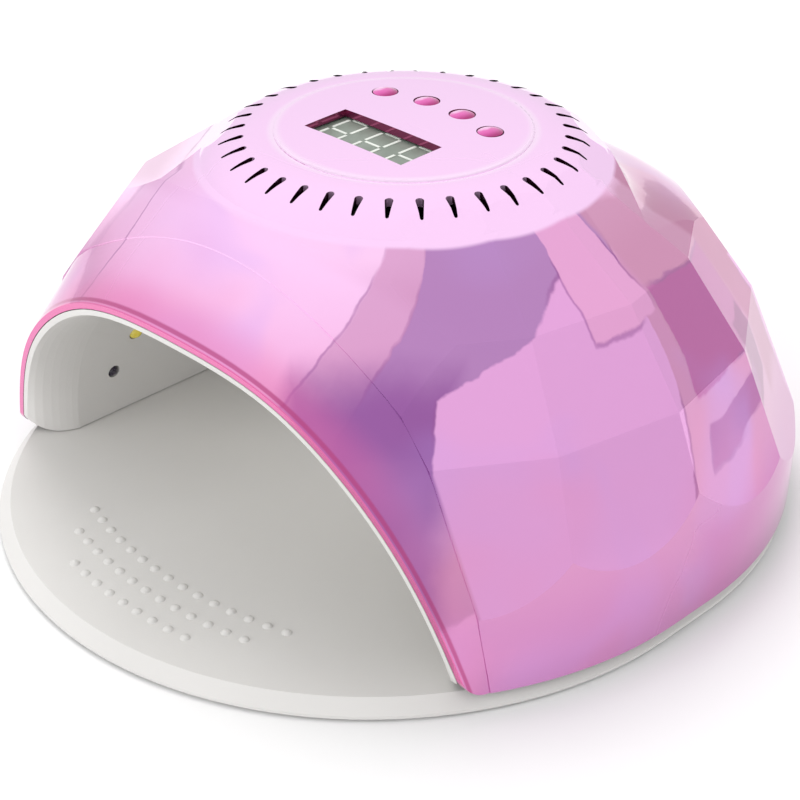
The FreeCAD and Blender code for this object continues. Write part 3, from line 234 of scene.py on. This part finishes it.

# The painted reflections on each side, light and dark patches: degrees round the dome from +X, heights, how
# much the top rises per radian, how many radians the patch leans per metre of height, colour, weight, soft
# edge.
PAINTED_REFLECTIONS = (
    ((-54.0, 5.0), (0.070, 0.1050), 0.0, 7.0, (212, 150, 196), 0.80, 0.0009),
    ((-44.0, 5.0), (0.066, 0.1050), 0.0, 7.0, (178, 126, 186), 0.92, 0.0005),
    ((5.0, 46.0), (0.070, 0.1050), 0.0, 0.0, (206, 142, 178), 0.90, 0.0020),
    ((-62.0, -38.5), (-0.010, 0.0790), 0.0, 0.0, (148, 84, 158), 0.95, 0.0060),
    ((4.0, 60.0), (-0.010, 0.0340), 0.0, 0.0, (202, 126, 182), 0.90, 0.0080),
    ((-41.0, 1.0), (-0.010, 0.1010), 0.036, 0.0, (229, 164, 220), 1.00, 0.0004),
    ((-11.0, 4.0), (0.080, 0.1300), 0.0, 0.0, (231, 164, 212), 1.00, 0.0004),
    ((5.0, 31.0), (0.063, 0.0850), 0.0, 0.0, (190, 104, 166), 0.95, 0.0005),
    ((21.0, 30.0), (0.046, 0.0660), 0.0, 0.0, (156, 74, 136), 0.95, 0.0004),
    ((7.0, 23.0), (0.048, 0.0560), 0.0, 0.0, (172, 96, 160), 0.95, 0.0004),
    ((31.0, 64.0), (0.040, 0.1120), 0.0, 0.0, (184, 100, 146), 0.75, 0.0030),
    ((44.0, 76.0), (-0.010, 0.0840), -0.012, 0.0, (228, 164, 218), 0.90, 0.0004),
    ((60.0, 95.0), (0.076, 0.0990), 0.0, 0.0, (190, 132, 188), 0.85, 0.0030),
)


def jittered(tree, value, place, scale, reach):
    """A value moved by a long soft wave with a little raggedness on it."""
    wave = remap(tree, noise(tree, place, scale, detail=1.0), -reach, reach)
    fine = noise(tree, place, scale * RAGGED_FINER, detail=3.0)
    return add(tree, value, add(tree, wave, remap(tree, fine, -reach * RAGGED, reach * RAGGED)))


def room_inside(tree, turn, z, turns, heights, rise, lean):
    """How far inside a patch a point is, in metres: turns are degrees round the dome, heights metres."""
    low, high = (math.radians(t) for t in turns)
    top = add(tree, times(tree, turn, rise), heights[1])
    if lean:
        turn = minus(tree, turn, times(tree, minus(tree, z, LEAN_HEIGHT), lean))
    rooms = (
        times(tree, minus(tree, turn, low), DOME_RADIUS),
        times(tree, minus(tree, high, turn), DOME_RADIUS),
        minus(tree, z, heights[0]),
        minus(tree, top, z),
    )
    least = rooms[0]
    for room in rooms[1:]:
        least = math_node(tree, "MINIMUM", least, room)
    return least


def shell_spot(tree, place):
    """What the plating's colour depends on: a point's place, its turn round the dome and its facing."""
    x, y, z = split_place(tree, place)
    axis_y = minus(tree, y, DOME_OFFSET)
    side = math_node(tree, "ABSOLUTE", x)
    normal = node(tree, "ShaderNodeNewGeometry").outputs["True Normal"]
    bluish = step(tree, noise(tree, place, 20.0, detail=2.0, distortion=0.6), 0.50, 0.72)
    on_right = step(tree, x, *LEFT_TO_RIGHT)
    return SimpleNamespace(
        place=place, x=x, y=y, z=z, axis_y=axis_y, side=side,
        turn=jittered(tree, math_node(tree, "ARCTAN2", axis_y, side), place, TURN_WAVE, TURN_REACH),
        wavy_z=jittered(tree, z, place, HEIGHT_WAVE, HEIGHT_REACH),
        normal=normal,
        normal_z=split_place(tree, normal)[2],
        on_right=on_right,
        bluish=times(tree, bluish, remap(tree, on_right, LEFT_BLUE, 1.0)),
    )


def plain_plating(tree, spot):
    """Rose on the skirt, lilac on the facets, pale on top and on the smooth front as painted highlights, with
    a bluish drift of painted iridescent sheen.
    """
    drift = noise(tree, spot.place, 14.0, detail=3.0, roughness=0.55)
    height = add(tree, spot.z, remap(tree, drift, -HEIGHT_DRIFT, HEIGHT_DRIFT))
    colour = mix(tree, step(tree, height, *FACETS_OVER_SKIRT), SKIRT_ROSE, FACET_ROSE)
    colour = mix(tree, step(tree, spot.z, *TOP_OVER_FACETS), colour, TOP_HIGHLIGHT_PINK)
    # A painted iridescent sheen: bluish clouds over the plating.
    colour = mix(tree, times(tree, spot.bluish, DRIFT_WEIGHT), colour, BLUE_SHEEN_DRIFT)
    cone = step(tree, add(tree, spot.axis_y, times(tree, spot.z, FRONT_LEAN)), *FRONT_DEPTH)
    above_sides = step(tree, add(tree, spot.z, times(tree, spot.side, SIDES_LEAN)), *FRONT_ABOVE_SIDES)
    front_highlight = mix(tree, step(tree, height, *FRONT_GROWS_PALE), FRONT_ROSE, FRONT_HIGHLIGHT)
    return mix(tree, times(tree, cone, above_sides, FRONT_WEIGHT), colour, front_highlight)


def with_painted_reflections(tree, spot, colour):
    """Lays painted reflections, mirror-like patches, over the plating, with a broken painted dark outline
    round the crisp ones.
    """
    behind_crease = step(tree, spot.axis_y, -CREASE_FRONT, 0.001 - CREASE_FRONT)
    faceted = times(tree, step(tree, spot.normal_z, *FACETS_TILT), behind_crease)
    right_side = remap(tree, spot.on_right, LEFT_SHARE, 1.0)
    broken = step(tree, noise(tree, spot.place, 30.0), 0.44, 0.56)
    for turns, heights, rise, lean, shade, weight, soft in PAINTED_REFLECTIONS:
        crisp = soft < RIM_SOFT
        where = faceted if crisp and heights[0] < 0 else 1.0
        strength = right_side if turns[0] < LEFT_PALE_TURN else 1.0
        room = room_inside(tree, spot.turn, spot.wavy_z, turns, heights, rise, lean)
        inside = times(tree, step(tree, room, -soft, soft), where, strength, weight)
        colour = mix(tree, inside, colour, from_screen(*shade))
        if crisp:
            rim = times(tree, step(tree, room, *RIM_OUTSIDE), step(tree, room, *RIM_INSIDE))
            colour = mix(tree, times(tree, rim, where, broken, RIM_WEIGHT), colour, REFLECTION_OUTLINE)
    return colour


def with_sheen(tree, spot, colour):
    """Tints the facets with rosy and bluish clouds."""
    rosy = step(tree, noise(tree, spot.place, 17.0, detail=2.0), 0.50, 0.68)
    on_facets = remap(tree, step(tree, spot.normal_z, *SHEEN_TILT), 0.0, SHEEN_WEIGHT)
    colour = mix(tree, times(tree, rosy, on_facets), colour, ROSY_SHEEN)
    return mix(tree, times(tree, spot.bluish, on_facets), colour, BLUE_SHEEN)


def with_cap(tree, spot, colour):
    """Makes the top pale out to its edge with a painted highlight, and a painted glint on the ring round the
    display and the buttons.
    """
    flat_place = node(tree, "ShaderNodeCombineXYZ", {"X": spot.x, "Y": spot.axis_y}).outputs["Vector"]
    out = vector_math(tree, "LENGTH", flat_place)["Value"]
    cap = times(tree, step(tree, out, *CAP_REACH), step(tree, spot.z, *CAP_HEIGHTS))
    colour = mix(tree, cap, colour, CAP_HIGHLIGHT)
    from_ring = math_node(tree, "ABSOLUTE", minus(tree, out, DISC_EDGE))
    glint = times(tree, step(tree, from_ring, *RING_WIDTH), step(tree, spot.z, *RING_HEIGHTS), GLINT_WEIGHT)
    return mix(tree, glint, colour, RING_GLINT)


def with_arch_edge(tree, spot, colour):
    """Deepens the pink towards the arch, up to a dark line and the lip, whose hot pink is a painted
    reflection.
    """
    leaned = times(tree, minus(tree, spot.z, ARCH_BASE + FOOT_HEIGHT), ARCH_LEAN)
    edge = add(tree, add(tree, spot.y, leaned), ARCH_FRONT - DOME_OFFSET)
    deeper_high_up = remap(tree, step(tree, spot.z, *ARCH_DEEPENS), *ARCH_WEIGHTS)
    near_edge = times(tree, step(tree, edge, *ARCH_REACH), deeper_high_up)
    colour = mix(tree, near_edge, colour, ARCH_ROSE)
    line = times(tree, step(tree, edge, *LINE_STARTS), step(tree, edge, *LINE_ENDS), LINE_WEIGHT)
    colour = mix(tree, line, colour, ARCH_LINE)
    return mix(tree, step(tree, edge, *LIP_REACH), colour, ARCH_LIP_REFLECTION)


def with_unplated_and_shaded_walls(tree, spot, colour):
    """Darkens the faces that look inwards or sideways: the vents' walls, the recess's and the inside. The
    dark is painted shade; the inside also has no plating.
    """
    centre = vector_math(tree, "SUBTRACT", spot.place, (0.0, DOME_OFFSET, 0.0))["Vector"]
    outward = vector_math(tree, "DOT_PRODUCT", centre, spot.normal)["Value"]
    unplated_and_shade = mix(tree, step(tree, spot.z, WALL_ROSE - 0.0003, WALL_ROSE), UNPLATED_AND_SHADOW_DARK, SHADED_WALL_ROSE)
    return mix(tree, step(tree, outward, *FACES_INWARD), colour, unplated_and_shade)


def pink_plating():
    """The shell's plating: pale pink on top as a painted highlight, lilac on the facets, rose on the skirt,
    with painted reflections in patches.
    """
    material, tree, shader, place = new_material("pink_plating")
    spot = shell_spot(tree, place)
    colour = plain_plating(tree, spot)
    for layer in (with_painted_reflections, with_sheen, with_cap, with_arch_edge, with_unplated_and_shaded_walls):
        colour = layer(tree, spot, colour)
    connect(
        tree, shader,
        Base_Color=colour,
        Metallic=0.70,
        Roughness=remap(tree, noise(tree, place, 90.0, detail=4.0), 0.06, 0.14),
        Coat_Weight=0.35,
        Coat_Roughness=0.03,
        Normal=bump(tree, noise(tree, place, 26.0, detail=2.0), 0.0005, 0.25),
    )
    return material


# Painted light on the buttons: a painted highlight on the side that faces this way, painted shade on the far
# side.
BUTTON_LIGHT_SIDE = (-0.30, -0.02, 0.954)   # which way a button's palest side faces
BUTTON_SHADE = from_screen(168, 34, 112)
BUTTON_PINK = from_screen(228, 98, 182)
BUTTON_HIGHLIGHT = from_screen(255, 190, 238)


def button_plating():
    """A button's plating: deep pink low on the dome as painted shade, paler where it turns up and to the left
    as a painted highlight.
    """
    material, tree, shader, place = new_material("button_pink")
    normal = node(tree, "ShaderNodeNewGeometry").outputs["Normal"]
    facing = vector_math(tree, "DOT_PRODUCT", normal, BUTTON_LIGHT_SIDE)["Value"]
    uneven = add(tree, facing, remap(tree, noise(tree, place, 900.0), -0.02, 0.02))
    low = mix(tree, step(tree, uneven, 0.72, 0.95), BUTTON_SHADE, BUTTON_PINK)
    connect(
        tree, shader,
        Base_Color=mix(tree, step(tree, uneven, 0.94, 0.995), low, BUTTON_HIGHLIGHT),
        Metallic=0.55,
        Roughness=remap(tree, noise(tree, place, 500.0), 0.08, 0.16),
        Coat_Weight=0.5,
        Normal=bump(tree, noise(tree, place, 1200.0), 0.000006),
    )
    return material


def circuit_board(name, mask, copper):
    """Solder mask, darker in clouds, over traces that run in two directions."""
    material, tree, shader, place = new_material(name)
    traces = node(
        tree, "ShaderNodeTexBrick",
        {"Vector": place, "Scale": 260.0, "Mortar Size": 0.035, "Color1": rgba(mask), "Color2": rgba(mask),
         "Mortar": rgba(copper)},
    ).outputs["Color"]
    cloud = step(tree, noise(tree, place, 180.0, detail=2.0), 0.45, 0.55)
    darker_mask = tuple(c * 0.85 for c in mask)
    connect(
        tree, shader,
        Base_Color=mix(tree, cloud, darker_mask, traces),
        Roughness=remap(tree, noise(tree, place, 900.0), 0.28, 0.45),
        Normal=bump(tree, noise(tree, place, 2500.0), 0.00002),
    )
    return material


def moulded(name, colour, shade, rough, grain, depth, metal=0.0, coat=0.0, mottle=60.0):
    """A moulded, plated or rubber surface: mottled colour, uneven gloss and a fine skin."""
    material, tree, shader, place = new_material(name)
    blotch = noise(tree, place, mottle, detail=4.0)
    fine = noise(tree, place, grain, detail=2.0)
    worn = noise(tree, place, mottle * 7.0, detail=5.0, roughness=0.65)
    connect(
        tree, shader,
        Base_Color=mix(tree, step(tree, blotch, 0.35, 0.65), colour, shade),
        Roughness=remap(tree, worn, *rough),
        Metallic=metal,
        Coat_Weight=coat,
        Coat_Roughness=0.08,
        Normal=bump(tree, fine, depth),
    )
    return material


# The plain materials: colour, the shade it is mottled with, roughness, and the skin's scale and depth.
MOULDED = {
    "white_shell": dict(
        colour=(0.71, 0.70, 0.68), shade=(0.675, 0.665, 0.645), rough=(0.30, 0.44),
        grain=1500.0, depth=0.00002, mottle=9.0,
    ),
    "foot_rubber": dict(
        colour=(0.045, 0.045, 0.047), shade=(0.06, 0.06, 0.06), rough=(0.70, 0.88),
        grain=2600.0, depth=0.00005,
    ),
    "zinc_steel": dict(
        colour=(0.62, 0.63, 0.66), shade=(0.70, 0.69, 0.64), rough=(0.24, 0.42),
        grain=900.0, depth=0.00001, metal=1.0,
    ),
    "nickel": dict(
        colour=(0.72, 0.70, 0.65), shade=(0.66, 0.65, 0.62), rough=(0.10, 0.24),
        grain=1100.0, depth=0.000006, metal=1.0,
    ),
    "display_grey": dict(
        colour=(0.20, 0.24, 0.20), shade=(0.24, 0.28, 0.24), rough=(0.30, 0.42),
        grain=1800.0, depth=0.00001, mottle=160.0,
    ),
    "display_white": dict(
        colour=(0.80, 0.84, 0.78), shade=(0.72, 0.76, 0.71), rough=(0.35, 0.50),
        grain=2400.0, depth=0.00001, mottle=300.0,
    ),
    "tin": dict(
        colour=(0.68, 0.68, 0.70), shade=(0.60, 0.60, 0.62), rough=(0.25, 0.40),
        grain=1400.0, depth=0.00002, metal=1.0,
    ),
    "black_plastic": dict(
        colour=(0.022, 0.022, 0.025), shade=(0.032, 0.031, 0.033), rough=(0.42, 0.58),
        grain=2600.0, depth=0.00003,
    ),
    "capacitor_sleeve": dict(
        colour=(0.035, 0.042, 0.12), shade=(0.05, 0.055, 0.14), rough=(0.28, 0.40),
        grain=1500.0, depth=0.00001,
    ),
    "ferrite": dict(
        colour=(0.085, 0.085, 0.09), shade=(0.12, 0.115, 0.115), rough=(0.55, 0.75),
        grain=3200.0, depth=0.00005,
    ),
    "connector_white": dict(
        colour=(0.80, 0.76, 0.66), shade=(0.84, 0.81, 0.72), rough=(0.38, 0.52),
        grain=1700.0, depth=0.00002,
    ),
    "lamp_yellow": dict(
        colour=(0.88, 0.72, 0.06), shade=(0.92, 0.80, 0.16), rough=(0.10, 0.20),
        grain=1400.0, depth=0.00001, coat=0.4, mottle=400.0,
    ),
    "chip_white": dict(
        colour=(0.84, 0.84, 0.80), shade=(0.80, 0.79, 0.74), rough=(0.45, 0.60),
        grain=3000.0, depth=0.00002, mottle=500.0,
    ),
    "sensor_dark": dict(
        colour=(0.016, 0.010, 0.030), shade=(0.024, 0.014, 0.036), rough=(0.06, 0.12),
        grain=1000.0, depth=0.00001, coat=0.5, mottle=400.0,
    ),
}

# A lead's sheath, by its colour and the shade it is mottled with.
LEADS = {
    "lead_red": ((0.62, 0.035, 0.03), (0.54, 0.03, 0.028)),
    "lead_black": ((0.018, 0.018, 0.018), (0.026, 0.026, 0.026)),
    "lead_white": ((0.78, 0.78, 0.75), (0.72, 0.72, 0.69)),
    "lead_yellow": ((0.76, 0.56, 0.05), (0.70, 0.50, 0.05)),
}

MATERIALS = {
    "pink_plating": pink_plating(),
    "button_pink": button_plating(),
    "board_green": circuit_board("board_green", (0.012, 0.12, 0.045), (0.06, 0.26, 0.09)),
    "strip_white": circuit_board("strip_white", (0.80, 0.80, 0.76), (0.70, 0.70, 0.64)),
}
for name, settings in MOULDED.items():
    MATERIALS[name] = moulded(name, **settings)
for name, (colour, shade) in LEADS.items():
    MATERIALS[name] = moulded(name, colour, shade, rough=(0.38, 0.50), grain=2200.0, depth=0.00002)

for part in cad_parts.values():
    for held in part.material_slots:
        held.material = MATERIALS[held.material.name.split(".")[0]]


def make_floor():
    """A plain pale floor, wide enough that its edge stays out of sight."""
    material, tree, shader, place = new_material("floor")
    connect(
        tree, shader,
        Base_Color=mix(tree, noise(tree, place, 3.0), (0.90, 0.90, 0.90), (0.92, 0.92, 0.92)),
        Roughness=0.85,
    )
    corners = [(-1, -1), (1, -1), (1, 1), (-1, 1)]
    mesh = bpy.data.meshes.new("floor")
    mesh.from_pydata([(x * FLOOR_HALF, y * FLOOR_HALF, 0) for x, y in corners], [], [(0, 1, 2, 3)])
    mesh.materials.append(material)
    floor = bpy.data.objects.new("floor", mesh)
    bpy.context.scene.collection.objects.link(floor)


def make_world():
    """A plain pale studio: white overhead, a little greyer towards the horizon."""
    world = bpy.data.worlds.new("studio")
    world.use_nodes = True
    tree = world.node_tree
    toward = node(tree, "ShaderNodeTexCoord").outputs["Generated"]
    up = split_place(tree, toward)[2]
    shade = mix(tree, step(tree, up, 0.0, 0.75), (0.84, 0.82, 0.85), (1.0, 1.0, 1.0))
    background = tree.nodes["Background"]
    tree.links.new(shade, background.inputs["Color"])
    background.inputs["Strength"].default_value = WORLD_STRENGTH
    bpy.context.scene.world = world


def make_sun(name, place, strength, spread, colour):
    """A soft light from far off, from the side where place is."""
    data = bpy.data.lights.new(name, "SUN")
    data.energy = strength
    data.angle = math.radians(spread)
    data.color = colour
    lamp = bpy.data.objects.new(name, data)
    lamp.visible_glossy = False
    lamp.rotation_euler = Vector(place).to_track_quat("Z", "Y").to_euler()
    bpy.context.scene.collection.objects.link(lamp)


def make_tunnel_light(name, place, size, power):
    """A soft light under the arch that faces down, on the plate and the liner's sides."""
    data = bpy.data.lights.new(name, "AREA")
    data.shape = "SQUARE"
    data.size = size
    data.energy = power
    lamp = bpy.data.objects.new(name, data)
    lamp.location = place
    lamp.visible_glossy = False
    lamp.visible_camera = False
    bpy.context.scene.collection.objects.link(lamp)


def make_camera():
    data = bpy.data.cameras.new("camera")
    data.lens = CAMERA_LENS
    data.sensor_width = CAMERA_SENSOR
    data.clip_start, data.clip_end = 0.01, 50.0
    camera = bpy.data.objects.new("camera", data)
    camera.location = CAMERA_PLACE
    camera.rotation_euler = (CAMERA_TILT, 0.0, CAMERA_TURN)
    bpy.context.scene.collection.objects.link(camera)
    bpy.context.scene.camera = camera


make_floor()
make_world()
make_sun("key", (-0.55, 0.35, 0.95), strength=0.95, spread=35.0, colour=(1.0, 0.995, 0.985))
make_sun("fill", (-0.15, -1.0, 0.42), strength=0.75, spread=50.0, colour=(1.0, 1.0, 1.0))
make_tunnel_light("tunnel_fill", TUNNEL_LIGHT_PLACE, size=0.09, power=0.028)
make_camera()
bpy.context.scene.view_settings.view_transform = "Standard"
